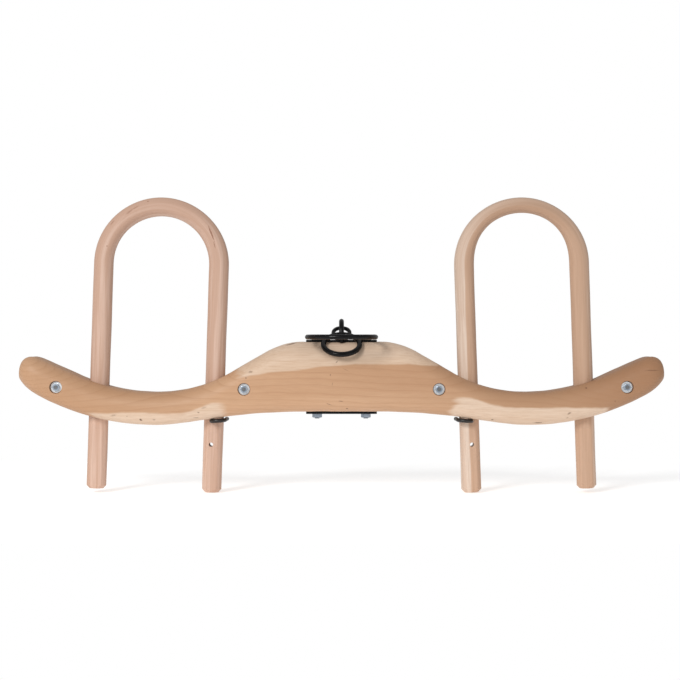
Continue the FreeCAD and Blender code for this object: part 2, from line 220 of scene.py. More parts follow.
# %% Outline
SHOULDER_SLOPE, HORN_SLOPE = np.radians(30.3), np.radians(24.2)
SHOULDER_R, SEAT_R_IN, SEAT_R_OUT, HORN_R = 150 * MM, 300 * MM, 380 * MM, 490 * MM
TIP, TIP_DROP = 44 * MM, 20 * MM


def arc_height(radius, distance):
    """Height of a circle over its centre at a distance along it: sqrt(r * r - d * d)."""
    return np.sqrt(np.maximum(radius**2 - distance**2, 0))


def belly_side(x):
    """Height of the belly side: flat, arc, slope, seat arc in, seat arc out and horn, joined smoothly."""
    x = np.abs(x)
    slope_end = SEAT_X - SEAT_R_IN * np.sin(SHOULDER_SLOPE)
    slope_end_z = SEAT_Z + SEAT_R_IN * (1 - np.cos(SHOULDER_SLOPE))
    round_end_z = BELLY - SHOULDER_R * (1 - np.cos(SHOULDER_SLOPE))
    round_end = slope_end - (round_end_z - slope_end_z) / np.tan(SHOULDER_SLOPE)
    flat_end = round_end - SHOULDER_R * np.sin(SHOULDER_SLOPE)
    horn_start = SEAT_X + SEAT_R_OUT * np.sin(HORN_SLOPE)
    horn_start_z = SEAT_Z + SEAT_R_OUT * (1 - np.cos(HORN_SLOPE))
    return np.select(
        [x <= flat_end, x <= round_end, x <= slope_end, x <= SEAT_X, x <= horn_start],
        [np.full_like(x, BELLY), BELLY - SHOULDER_R + arc_height(SHOULDER_R, x - flat_end),
         slope_end_z + (slope_end - x) * np.tan(SHOULDER_SLOPE),
         SEAT_Z + SEAT_R_IN - arc_height(SEAT_R_IN, SEAT_X - x),
         SEAT_Z + SEAT_R_OUT - arc_height(SEAT_R_OUT, x - SEAT_X)],
        horn_start_z + (x - horn_start) * np.tan(HORN_SLOPE))


def crown_side(x):
    """Height of the crown side: an S-curve u*u*(3 - 2u) down to the neck, then one arc up to the tip."""
    x = np.abs(x)
    u = (np.minimum(x, SEAT_X) / SEAT_X) ** 1.8
    ogee = CROWN - (CROWN - UNDER_SEAT) * u * u * (3 - 2 * u)
    rising = UNDER_SEAT + HORN_R - arc_height(HORN_R, x - SEAT_X)
    return np.where(x <= SEAT_X, ogee, rising)


# %% [markdown]
# ## The bows' own frame
#
# Each bow leans a little towards the middle of the beam, because its holes are bored at a slant.
# Its shape is drawn upright, in a frame of its own, and `bow_point` carries it to its place.

# %% Bow frame
BOW_SPACING, BOW_STOCK, BOW_CLEAR = 232 * MM, 40 * MM, 0.75 * MM
BOW_ABOVE, BOW_END = 392 * MM, -197 * MM
BOW_ARC = BOW_ABOVE - BOW_SPACING / 2 - BOW_STOCK / 2


def bow_point(side, x, y, z):
    """Point of the upright bow, moved to its place: seat + x * across + z * slide axis."""
    word = "left" if side < 0 else "right"
    up = np.array(joints[f"bow_{word}_slide"]["axis"], float)
    across = np.array([up[2], 0, -up[0]])
    seat = np.array(mounts[f"neck_seat_{word}"]["pos_m"], float)
    x, y, z = np.broadcast_arrays(np.asarray(x, float), y, z)
    return seat + x[..., None] * across + y[..., None] * np.array([0, 1.0, 0]) + z[..., None] * up


# %% [markdown]
# ## The carved beam
#
# At each station along the outline the section is a rectangle with four round corners, worked out
# for all stations at once. The ends close as a superellipse, like a rasped tip, and sink a little
# towards the crown as they close. A drawknife never leaves a dead flat face, so the surface also
# swells and dips by about half a millimetre. Last, the holes for the bows and the recesses for the
# tie bolts are cut out, because real holes catch real shadows.

# %% Beam
BELLY_EDGE, SEAT_EDGE, CROWN_EDGE = 47 * MM, 34 * MM, 27 * MM
ARC_POINTS, FACE_POINTS = 15, 17
TIE_RECESS, TIE_HEAD_BED, TIE_HEAD_HIGH = 12.5 * MM, 10.6 * MM, 4.4 * MM
TIP_POWER = 2 / 2.4              # of the superellipse that closes the tips
CUT_UP, CUT_OUT = 0.2, 0.1       # how far cutters reach past the wood: up and down, front and back


def stations():
    """x of every section, and how much of the full section is left there: 1, closing in the tips."""
    body_end = HALF_LENGTH - TIP
    body = np.linspace(0, body_end, 190)
    angle = np.linspace(0, 0.992 * np.pi / 2, 26)[1:]
    x = np.concatenate([body, body_end + TIP * np.sin(angle) ** TIP_POWER])
    left = np.concatenate([np.ones_like(body), np.cos(angle) ** TIP_POWER])
    return np.concatenate([-x[:0:-1], x]), np.concatenate([left[:0:-1], left])


def round_sections(x, keep):
    """Rounded rectangles: four corner arcs joined by straight faces, all stations at once."""
    high, low = belly_side(x), crown_side(x)
    half_height = (high - low) / 2
    middle = low + half_height - TIP_DROP * (1 - keep)
    low, high = middle - half_height * keep, middle + half_height * keep
    half = HALF_THICK * (0.35 + 0.65 * keep)
    u = np.clip(np.abs(x) / (SEAT_X - BOW_SPACING / 2), 0, 1)
    upper = BELLY_EDGE + (SEAT_EDGE - BELLY_EDGE) * u * u * (3 - 2 * u)
    room = np.minimum((high - low) * 0.49, half * 0.9)
    upper = np.minimum(upper * (0.4 + 0.6 * keep), room)
    lower = np.minimum(CROWN_EDGE * (0.4 + 0.6 * keep), room)
    turn = np.linspace(0, np.pi / 2, ARC_POINTS)
    corners = []
    for start, y_sign, z_end, z_sign, r in ((-90, 1, low, 1, lower), (0, 1, high, -1, upper),
                                            (90, -1, high, -1, upper), (180, -1, low, 1, lower)):
        a = np.radians(start) + turn
        y = y_sign * (half - r)[:, None] + r[:, None] * np.cos(a)
        z = (z_end + z_sign * r)[:, None] + r[:, None] * np.sin(a)
        corners.append(np.stack([y, z], axis=-1))
    share = np.linspace(0, 1, FACE_POINTS)[1:-1, None]
    around = []
    for arc, following in zip(corners, corners[1:] + corners[:1]):
        around += [arc, arc[:, -1:] + (following[:, :1] - arc[:, -1:]) * share]
    return np.concatenate(around, axis=1), middle


def hand_waviness(x, y, z):
    """Slow swells of a hand-worked face: products of sines of unlike lengths, about 0.5 mm high."""
    return MM * (0.35 * np.sin(41 * x + 9 * z) * np.sin(33 * y + 27 * z + 1.3)
                 + 0.22 * np.sin(97 * x + 2.1) * np.sin(71 * z - 30 * y)
                 + 0.12 * np.sin(183 * x - 40 * z) * np.sin(140 * y + 90 * z + 0.7))


def beam():
    """The carved beam: sections along the outline, waviness outwards, plate beds, then the holes."""
    x, keep = stations()
    yz, middle = round_sections(x, keep)
    out = yz - np.stack([np.zeros_like(middle), middle], axis=-1)[:, None, :]
    out /= np.maximum(np.linalg.norm(out, axis=-1, keepdims=True), 1e-9)
    xx = np.broadcast_to(x[:, None], yz.shape[:2])
    yz = yz + out * (hand_waviness(xx, yz[..., 0], yz[..., 1]) * np.sqrt(keep)[:, None])[..., None]
    z = np.where(np.abs(xx) < BED_HALF, np.clip(yz[..., 1], CROWN_BED, BELLY_BED), yz[..., 1])
    made = grid_object("carved_beam", np.stack([xx, yz[..., 0], z], axis=-1))
    return cut(made, bow_holes() + tie_recesses())


def bow_holes():
    """Leaning holes for the bows' legs, with the legs' running clearance."""
    holes = []
    for word, side in SIDES:
        for x in (-BOW_SPACING / 2, BOW_SPACING / 2):
            below, above = bow_point(side, x, 0, -CUT_UP), bow_point(side, x, 0, CUT_UP)
            holes.append((below, above, BOW_STOCK / 2 + BOW_CLEAR))
    return holes


def tie_recesses():
    """A round recess behind each washer and a shallow bed under each domed bolt head."""
    recesses = []
    for place in ("inner_left", "inner_right", "outer_left", "outer_right"):
        low, high = box(f"tie_washer_{place}")
        centre = (low + high) / 2
        recesses.append(([centre[0], high[1], centre[2]], [centre[0], -CUT_OUT, centre[2]], TIE_RECESS))
        head = box(f"tie_bolt_{place}")[1][1] - TIE_HEAD_HIGH
        recesses.append(([centre[0], head, centre[2]], [centre[0], CUT_OUT, centre[2]], TIE_HEAD_BED))
    return recesses


# %% [markdown]
# ## Build the beam
#
# The wood takes the place of the plain CAD beam, and rides on the yoke with the ironwork.

# %% Build the beam
beam_piece = beam()
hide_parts("beam")
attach(beam_piece, "yoke")
print("beam faces:", len(beam_piece.data.polygons))

# %% [markdown]
# ## The steam-bent bows
#
# A bow starts as a straight stick, shaved round by hand, then steamed and bent. So its section is
# not a true circle: it is a soft octagon that wanders a little along the stick. Below the beam the
# legs are flat at the front and back, where they are bored for the pins, and their ends are
# chamfered. The inside of each arch is pared away: hardly at all on the left bow, and deeply on the
# right one, most at the top of the arch and not at all where it meets the legs.

# %% Bows
FLAT_HALF, FLAT_TOP, LEG_CHAMFER, PIN_HOLE = 17 * MM, -67.7 * MM, 6 * MM, 8.6 * MM
PIN_PITCH, PIN_OFFSET = 48 * MM, 3 * MM
FLAT_FADE, BORE_REACH = 8 * MM, 50 * MM   # length over which the flats begin; reach of a pin hole's cutter


def bow_path():
    """Distance along the stick, and the point and tangent there: leg up, half circle, leg down."""
    half = BOW_SPACING / 2
    leg, arc = BOW_ARC - BOW_END, np.pi * half
    ends = LEG_CHAMFER * np.array([0, 0.5, 1.0])
    s = np.concatenate([ends, np.linspace(2 * LEG_CHAMFER, 2 * leg + arc - 2 * LEG_CHAMFER, 330),
                        2 * leg + arc - ends[::-1]])
    a = np.pi - (np.clip(s, leg, leg + arc) - leg) / half
    x = half * np.cos(a)
    z = BOW_ARC + half * np.sin(a) - np.maximum(leg - s, 0) - np.maximum(s - leg - arc, 0)
    tangent = np.stack([np.sin(a), np.zeros_like(a), -np.cos(a)], axis=-1)
    return s, np.stack([x, np.zeros_like(x), z], axis=-1), tangent


def shaved_section(s, angle, turn):
    """Radius of a soft octagon: r * (1 - dent * cos 8a), with the dent and a slow wobble along s."""
    dent = 0.012 + 0.008 * np.sin(9 * s + turn)
    wobble = 0.008 * np.sin(23 * s + 2 * angle + turn) + 0.005 * np.sin(51 * s - 3 * angle)
    return BOW_STOCK / 2 * (0.985 - dent * np.cos(8 * angle + turn) + wobble)


def bow(word, side, turn, thin):
    """One bow: the shaved section, pared by thin inside the arch, flats and chamfers below, pin holes."""
    s, path, tangent = bow_path()
    angle = np.linspace(0, 2 * np.pi, 64, endpoint=False)
    ss, aa = s[:, None], angle[None, :]
    radius = shaved_section(ss, aa, turn)
    from_end = np.minimum(s, s[-1] - s)
    chamfer = np.clip(from_end / LEG_CHAMFER, 0, 1)[:, None]
    radius = radius * (0.72 + 0.28 * chamfer)
    across, upward = radius * np.cos(aa), radius * np.sin(aa)
    over = np.clip((path[:, 2] - BOW_ARC) / (BOW_SPACING / 2), 0, 1)[:, None]
    pared = 1 - thin * over * over * (3 - 2 * over)
    across = np.where(across < 0, across * pared, across)
    below = np.clip((FLAT_TOP - path[:, 2]) / FLAT_FADE, 0, 1)[:, None]
    limit = BOW_STOCK / 2 * 1.05 + (FLAT_HALF - BOW_STOCK / 2 * 1.05) * below
    upward = np.clip(upward, -limit, limit)
    local = frame_rows(path, tangent, (0, 1, 0), across, upward)
    uv = np.stack([ss + 0 * aa, aa * BOW_STOCK / 2 + 0 * ss], axis=-1)
    placed = bow_point(side, local[..., 0], local[..., 1], local[..., 2])
    made = grid_object(f"bent_bow_{word}", placed, uv=uv)
    hole_z = np.array([0.0, -PIN_PITCH]) + PIN_LEVEL
    inner = -side * (BOW_SPACING / 2 - PIN_OFFSET)
    holes = [(bow_point(side, inner, -BORE_REACH, z), bow_point(side, inner, BORE_REACH, z), PIN_HOLE / 2)
             for z in hole_z]
    return cut(made, holes)


def pin_level():
    """Height of the pins in the bow's frame: the spare hole's height there, and one pitch more."""
    spare = np.array(mounts["spare_pin_hole_right"]["pos_m"]) - np.array(mounts["neck_seat_right"]["pos_m"])
    return float(spare @ np.array(joints["bow_right_slide"]["axis"])) + PIN_PITCH


PIN_LEVEL = pin_level()
BOW_SHAPES = {"left": (0.6, 0.06), "right": (2.1, 0.42)}   # turn of the octagon, paring of the arch
bows = {}
for word, side in SIDES:
    bows[word] = bow(word, side, *BOW_SHAPES[word])
    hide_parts(f"bow_{word}")
    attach(bows[word], f"bow_{word}")
    print("bow", word, "faces", len(bows[word].data.polygons))

# %% [markdown]
# ## Rings
#
# Blacksmith's rings are bar bent round and welded shut, so each has a slightly fatter weld and
# isn't quite even.

# %% Rings
POLE_BAR, CHAIN_BAR, LINK_BAR = 10 * MM, 10.6 * MM, 8 * MM   # the chain ring's is 10 in the design
RINGS = (   # node, mean diameter, bar, angle above +Y in degrees, place of the weld in radians
    ("pole_ring", 134 * MM, POLE_BAR, 180.0, 1.9),
    ("chain_ring", 72 * MM, CHAIN_BAR, 213.0, 0.9),
    ("link_ring", 33 * MM, LINK_BAR, 36.5, 2.4))


def ring(node, mean, bar, angle, weld):
    """Torus through its hinge, in a plane at angle above +Y, fatter by a bell curve at the weld."""
    pivot = np.array(joints[f"{node}_swing"]["pos_m"], float)
    a = np.radians(angle)
    along, normal = np.array([0, np.cos(a), np.sin(a)]), np.array([0, -np.sin(a), np.cos(a)])
    t = np.linspace(0, 2 * np.pi, 220, endpoint=False)
    centre = pivot + along * mean / 2
    path = centre + mean / 2 * (np.cos(t)[:, None] * -along + np.sin(t)[:, None] * np.array([1.0, 0, 0]))
    tangent = mean / 2 * (np.sin(t)[:, None] * along + np.cos(t)[:, None] * np.array([1.0, 0, 0]))
    off = np.angle(np.exp(1j * (t - weld))) * mean / 2
    radius = bar / 2 * (0.985 + 0.012 * np.sin(3 * t + weld) + 0.045 * np.exp(-((off / (3.5 * MM)) ** 2)))
    across, upward = round_profile(len(t), radius, 36)
    made = grid_object(f"forged_{node}", frame_rows(path, tangent, normal, across, upward), ring=True)
    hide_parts(node)
    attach(made, node)
    return made


iron_pieces = [ring(*r) for r in RINGS]
print("rings:", [p.name for p in iron_pieces])

# %% [markdown]
# ## Staple
#
# The staple is a plain U of round bar that stands in the belly plate's bed and holds the rings.

# %% Staple
STAPLE_BAR, STAPLE_SHARE = 10 * MM, 0.995   # the bar is drawn at this share of its size


def staple():
    """U of round bar: leg up, half circle over the rings, leg down, from the belly plate's bed."""
    low, high = box("staple")
    half, foot = high[1] - STAPLE_BAR / 2, low[2]
    arc_z = high[2] - STAPLE_BAR / 2 - half
    leg = np.linspace(foot, arc_z, 14)[:-1]
    a = np.linspace(np.pi, 0, 60)
    y = np.concatenate([np.full(13, -half), half * np.cos(a), np.full(13, half)])
    z = np.concatenate([leg, arc_z + half * np.sin(a), leg[::-1]])
    path = np.stack([np.zeros_like(y), y, z], axis=-1)
    across, upward = round_profile(len(y), STAPLE_BAR / 2 * STAPLE_SHARE, 36)
    made = grid_object("bent_staple", sweep(path, (1, 0, 0), across, upward))
    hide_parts("staple")
    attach(made, "yoke")
    return made


iron_pieces.append(staple())
print("staple faces:", len(iron_pieces[-1].data.polygons))

# %% [markdown]
# ## Bow pins
#
# The bow pins are hairpins: a shank through the leg, a bend in front, and a springy leg that lies
# along the side of the wood. Extra rows near both ends of the wire let the ends round over.

# %% Bow pins
PIN_WIRE, PIN_TAIL, PIN_GAP, PIN_HOOK = 8 * MM, 9 * MM, 0.4 * MM, 13 * MM
PIN_TILT, HOOK_OUT = np.radians(6.0), 0.12
PIN_SHARE = 0.99   # the wire is drawn at this share of its size
END_ROWS = np.array([0.4, 1.2, 2.2]) * MM


def bow_pin(word, side):
    """Hairpin in the bow's frame: shank to the front, half circle outside the leg, spring leg, hook."""
    r = PIN_WIRE / 2
    reach = PIN_OFFSET + BOW_STOCK / 2 + r + PIN_GAP
    inner, inward = -side * (BOW_SPACING / 2 - PIN_OFFSET), -side
    front, back = PIN_OFFSET - reach, BOW_STOCK / 2 + PIN_TAIL
    a = np.linspace(0, np.pi, 24)[1:-1]
    bend = reach / 2
    shank = np.stack([np.full(20, 0.0), np.linspace(back, front, 20)], axis=-1)
    turn = np.stack([bend - bend * np.cos(a), front - bend * np.sin(a)], axis=-1)
    spring_end = BOW_STOCK / 4
    spring = np.stack([np.full(12, reach), np.linspace(front, spring_end, 12)], axis=-1)
    h = np.linspace(0, 1, 8)[1:]
    hook = np.stack([reach + HOOK_OUT * PIN_HOOK * h**1.5, spring_end + PIN_HOOK * h], axis=-1)
    flat = np.concatenate([shank, turn, spring, hook])
    path = np.stack([flat[:, 0] * np.cos(PIN_TILT), flat[:, 1], flat[:, 0] * np.sin(PIN_TILT)], axis=-1)
    step = np.concatenate([[0], np.cumsum(np.linalg.norm(np.diff(path, axis=0), axis=1))])
    even = np.sort(np.concatenate([np.linspace(0, step[-1], 150), END_ROWS, step[-1] - END_ROWS]))
    path = np.stack([np.interp(even, step, path[:, i]) for i in range(3)], axis=-1)
    from_end = np.minimum(even, even[-1] - even)
    radius = r * PIN_SHARE * np.sqrt(1 - (1 - np.clip(from_end / r, 0.12, 1)) ** 2)
    across, upward = round_profile(len(path), radius, 28)
    local = sweep(path, (-np.sin(PIN_TILT), 0, np.cos(PIN_TILT)), across, upward)
    placed = bow_point(side, inner + inward * local[..., 0], local[..., 1], local[..., 2] + PIN_LEVEL)
    made = grid_object(f"hairpin_{word}", placed)
    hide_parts(f"bow_pin_{word}")
    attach(made, f"pin_{word}")
    return made


pins = [bow_pin(word, side) for word, side in SIDES]
print("iron pieces:", [p.name for p in iron_pieces + pins])

# %% [markdown]
# ## Node helpers
#
# A shader is a graph, and a graph written one node at a time hides its own logic. These helpers
# let a formula be written as nested calls, inside a material or inside a reusable group.


# %% Shader helpers
class Graph:
    """Short calls that add nodes to one node tree and return output sockets."""

    def __init__(self, tree):
        self.tree = tree

    def node(self, kind, **settings):
        made = self.tree.nodes.new(kind)
        for key, value in settings.items():
            setattr(made, key, value)
        return made

    def feed(self, socket, value):
        if isinstance(value, bpy.types.NodeSocket):
            self.tree.links.new(value, socket)
        else:
            socket.default_value = value

    def math(self, operation, *values):
        made = self.node("ShaderNodeMath", operation=operation)
        for socket, value in zip(made.inputs, values):
            self.feed(socket, value)
        return made.outputs[0]

    def ramp(self, value, low, high, out_low=0.0, out_high=1.0):
        """Smooth step: out_low at low, out_high at high."""
        made = self.node("ShaderNodeMapRange", interpolation_type="SMOOTHSTEP")
        for socket, v in zip(made.inputs, (value, low, high, out_low, out_high)):
            self.feed(socket, v)
        return made.outputs[0]

    def noise(self, vector, scale, detail=2.0, rough=0.5):
        made = self.node("ShaderNodeTexNoise")
        self.feed(made.inputs["Vector"], vector)
        for name, v in (("Scale", scale), ("Detail", detail), ("Roughness", rough)):
            self.feed(made.inputs[name], v)
        return made.outputs["Fac"]

    def centred(self, noise):
        """Noise about zero, instead of about a half."""
        return self.math("SUBTRACT", noise, 0.5)

    def stretch(self, vector, scale, move=(0, 0, 0)):
        made = self.node("ShaderNodeMapping")
        self.feed(made.inputs["Vector"], vector)
        made.inputs["Scale"].default_value = scale
        made.inputs["Location"].default_value = move
        return made.outputs[0]

    def parts(self, vector):
        made = self.node("ShaderNodeSeparateXYZ")
        self.feed(made.inputs[0], vector)
        return made.outputs

    def mix(self, factor, first, second, blend="MIX"):
        made = self.node("ShaderNodeMix", data_type="RGBA", blend_type=blend)
        for label, v in (("Factor", factor), (6, first), (7, second)):
            self.feed(made.inputs[label], v)
        return made.outputs[2]

    def group(self, tree, **values):
        made = self.node("ShaderNodeGroup")
        made.node_tree = tree
        for name, v in values.items():
            self.feed(made.inputs[name.replace("_", " ")], v)
        return made.outputs


def new_group(name, inputs, outputs):
    """Empty group with float or vector sockets; returns its graph and its input and output nodes."""
    tree = bpy.data.node_groups.new(name, "ShaderNodeTree")
    for label, kind in inputs:
        tree.interface.new_socket(label, in_out="INPUT", socket_type=kind)
    for label in outputs:
        tree.interface.new_socket(label, in_out="OUTPUT", socket_type="NodeSocketFloat")
    g = Graph(tree)
    return g, g.node("NodeGroupInput").outputs, g.node("NodeGroupOutput").inputs


def srgb(red, green, blue):
    """Linear colour from 0-255 display values."""
    c = np.array([red, green, blue]) / 255
    linear = np.where(c <= 0.04045, c / 12.92, ((c + 0.055) / 1.055) ** 2.4)
    return (*linear.tolist(), 1.0)


FLOAT, VECTOR = "NodeSocketFloat", "NodeSocketVector"

# %% [markdown]
# ## Shared effects as groups
#
# Four effects are kept as groups. *Growth rings* are level sets of a height that is warped
# slowly, with a sharp dark edge after each ring. *Fibres* are noise squeezed across the grain.
# *Mark* is one small blemish at a place, an ellipse broken up by noise. *Worn finish* breaks up
# gloss and colour on metal.


# %% Effect groups
def growth_rings():
    """Line = fract(height / spacing) ** 5, where the height is warped by two slow noises."""
    g, i, o = new_group("growth_rings", (("Vector", VECTOR), ("Height", FLOAT), ("Spacing", FLOAT),
                                         ("Warp", FLOAT)), ("Line", "Band"))
    slow = g.centred(g.noise(g.stretch(i["Vector"], (2.2, 7, 7)), 1.0, 1.0))
    finer = g.centred(g.noise(g.stretch(i["Vector"], (9, 22, 22), (3, 1, 2)), 1.0, 2.0))
    bend = g.math("MULTIPLY", g.math("ADD", slow, g.math("MULTIPLY", finer, 0.16)), i["Warp"])
    count = g.math("DIVIDE", g.math("ADD", i["Height"], bend), i["Spacing"])
    g.feed(o["Line"], g.math("POWER", g.math("FRACT", count), 5.0))
    g.feed(o["Band"], g.noise(g.stretch(i["Vector"], (1.2, 9, 14)), 1.0, 3.0, 0.6))
    return g.tree


def fibres():
    """Streak and pore masks from noise in a vector already stretched along the grain."""
    g, i, o = new_group("fibres", (("Vector", VECTOR),), ("Streak", "Pore"))
    g.feed(o["Streak"], g.noise(i["Vector"], 1.0, 4.0, 0.62))
    g.feed(o["Pore"], g.ramp(g.noise(g.stretch(i["Vector"], (2.5, 3, 3)), 1.0, 1.0), 0.62, 0.72))
    return g.tree


def mark():
    """Mask of one blemish in the x-z plane: an ellipse turned by Angle, ragged by noise."""
    g, i, o = new_group("mark", (("Vector", VECTOR), ("X", FLOAT), ("Z", FLOAT), ("Half length", FLOAT),
                                 ("Half width", FLOAT), ("Angle", FLOAT)), ("Mask",))
    x, _, z = g.parts(i["Vector"])
    dx, dz = g.math("SUBTRACT", x, i["X"]), g.math("SUBTRACT", z, i["Z"])
    c, s = g.math("COSINE", i["Angle"]), g.math("SINE", i["Angle"])
    along = g.math("ADD", g.math("MULTIPLY", dx, c), g.math("MULTIPLY", dz, s))
    across = g.math("SUBTRACT", g.math("MULTIPLY", dz, c), g.math("MULTIPLY", dx, s))
    u, v = g.math("DIVIDE", along, i["Half length"]), g.math("DIVIDE", across, i["Half width"])
    far = g.math("SQRT", g.math("ADD", g.math("MULTIPLY", u, u), g.math("MULTIPLY", v, v)))
    ragged = g.math("MULTIPLY", g.centred(g.noise(i["Vector"], 420.0, 3.0, 0.7)), 1.7)
    g.feed(o["Mask"], g.ramp(g.math("ADD", far, ragged), 1.15, 0.35))
    return g.tree


def worn_finish():
    """Cloud and fine masks that break up gloss on metal."""
    g, i, o = new_group("worn_finish", (("Vector", VECTOR), ("Scale", FLOAT)), ("Cloud", "Fine"))
    g.feed(o["Cloud"], g.noise(i["Vector"], i["Scale"], 3.0, 0.55))
    g.feed(o["Fine"], g.noise(i["Vector"], g.math("MULTIPLY", i["Scale"], 9.0), 2.0, 0.6))
    return g.tree


RINGS_GROUP, FIBRES_GROUP, MARK_GROUP, WORN_GROUP = growth_rings(), fibres(), mark(), worn_finish()


def new_material(name):
    """Material with an empty tree but for a Principled shader; returns it, its graph and the shader."""
    material = bpy.data.materials.new(name)
    material.use_nodes = True
    material.node_tree.nodes.clear()
    g = Graph(material.node_tree)
    shader = g.node("ShaderNodeBsdfPrincipled")
    output = g.node("ShaderNodeOutputMaterial")
    g.tree.links.new(shader.outputs[0], output.inputs[0])
    return material, g, shader


def bump(g, shader, height, distance, strength=1.0):
    """Feeds a bump of this height, in metres, to the shader's normal."""
    made = g.node("ShaderNodeBump")
    made.inputs["Strength"].default_value = strength
    made.inputs["Distance"].default_value = distance
    g.feed(made.inputs["Height"], height)
    g.feed(shader.inputs["Normal"], made.outputs[0])


def dress(pieces, material):
    """Gives pieces this material alone."""
    for piece in pieces:
        piece.data.materials.clear()
        piece.data.materials.append(material)


# %% [markdown]
# ## Beam wood
#
# The plank was sawn across the heart of the log, so a straight band of tan heartwood runs from end
# to end. The carving reaches past it into pale sapwood in three places: the top of the belly, and
# the lower edge under each neck. Masks in the object's own coordinates say where, and noise makes
# the borders wander. The small knots and scratches are placed one by one.

# %% Beam wood
BEAM_MARKS = (  # x, z, half length, half width in millimetres, angle in degrees, strength
    (-451, -1, 7, 2.2, 10, 0.35), (-424, -3, 2, 1.2, 0, 0.4), (-397, -10, 3.4, 2.2, -30, 0.95),
    (-371, -10, 3.5, 1.8, 0, 0.5), (-283, 5, 3, 1.8, -15, 0.6), (-288, -6, 6, 1.2, 0, 0.45),
    (-272, 14, 7, 2, 20, 0.3), (-9, 105, 4.2, 0.9, 40, 0.75), (-22, 79, 2, 1, 90, 0.7),
    (9, 89, 7, 0.7, -25, 0.4), (-18, 61, 4, 0.8, 80, 0.45), (-1, 27, 6, 1, -5, 0.6),
    (-25, 21, 8, 0.9, -18, 0.6), (11, 12, 2.2, 1.4, 0, 0.85), (-180, 85, 5, 2.6, 15, 0.5),
    (-189, 73, 2, 2.6, 0, 0.5), (450, 3, 5, 2, 35, 0.6), (447, -6, 3, 1.2, 20, 0.45),
    (390, -16, 11, 1.2, 2, 0.8), (299, -10, 3, 1.6, 0, 0.7), (485, 53, 2.2, 1.6, 0, 0.8),
    (541, 27, 2, 2, 0, 0.35), (614, 88, 17, 1.2, 0, 0.55), (-100, 140, 13, 1.5, 14, 0.7))

SAP_WANDER, SAP_ENDS = 12 * MM, 70 * MM   # how far a patch's edge and ends wander
NECK_SAPWOOD = (   # under each neck, in millimetres: x from, x to, height, and where the height rises
    (-500, -240, 3, -320, -250), (222, 528, 14, 330, 240))


def add_marks(g, vector, marks):
    """Strongest of the marks at each place."""
    total = 0.0
    for x, z, length, width, angle, strength in marks:
        one = g.group(MARK_GROUP, Vector=vector, X=x * MM, Z=z * MM, Half_length=length * MM,
                      Half_width=width * MM, Angle=np.radians(angle))["Mask"]
        total = g.math("MAXIMUM", total, g.math("MULTIPLY", one, strength))
    return total


def between(g, x, low, high, soft, wander):
    """1 where low < x < high, fading over soft, with both ends moved by wander."""
    moved = g.math("ADD", x, wander)
    begun, ended = g.ramp(moved, low - soft, low + soft), g.ramp(moved, high + soft, high - soft)
    return g.math("MULTIPLY", begun, ended)


def sapwood(g, vector, x, z):
    """Mask of the three sapwood patches, each a height limit that depends on x, with wandering ends."""
    wander = g.centred(g.noise(g.stretch(vector, (14, 30, 30)), 1.0, 3.0))
    ends = g.centred(g.noise(g.stretch(vector, (12, 20, 55)), 1.0, 3.0))
    height = g.math("ADD", z, g.math("MULTIPLY", wander, SAP_WANDER))
    ends = g.math("MULTIPLY", ends, SAP_ENDS)
    off = g.math("SUBTRACT", x, 90 * MM)
    belly = g.math("SUBTRACT", 100 * MM, g.math("MULTIPLY", g.math("MULTIPLY", off, off), 1 / 3.0))
    over = g.ramp(g.math("SUBTRACT", height, belly), -2.5 * MM, 2.5 * MM)
    total = g.math("MULTIPLY", over, between(g, x, -208 * MM, 182 * MM, 9 * MM, ends))
    for low, high, level, rise_from, rise_to in NECK_SAPWOOD:
        rise = g.ramp(x, rise_from * MM, rise_to * MM, 0.0, 20 * MM)
        limit = g.math("ADD", rise, level * MM)
        under = g.ramp(g.math("SUBTRACT", height, limit), 3 * MM, -3 * MM)
        inside = between(g, x, low * MM, high * MM, 10 * MM, ends)
        total = g.math("MAXIMUM", total, g.math("MULTIPLY", under, inside))
    return total


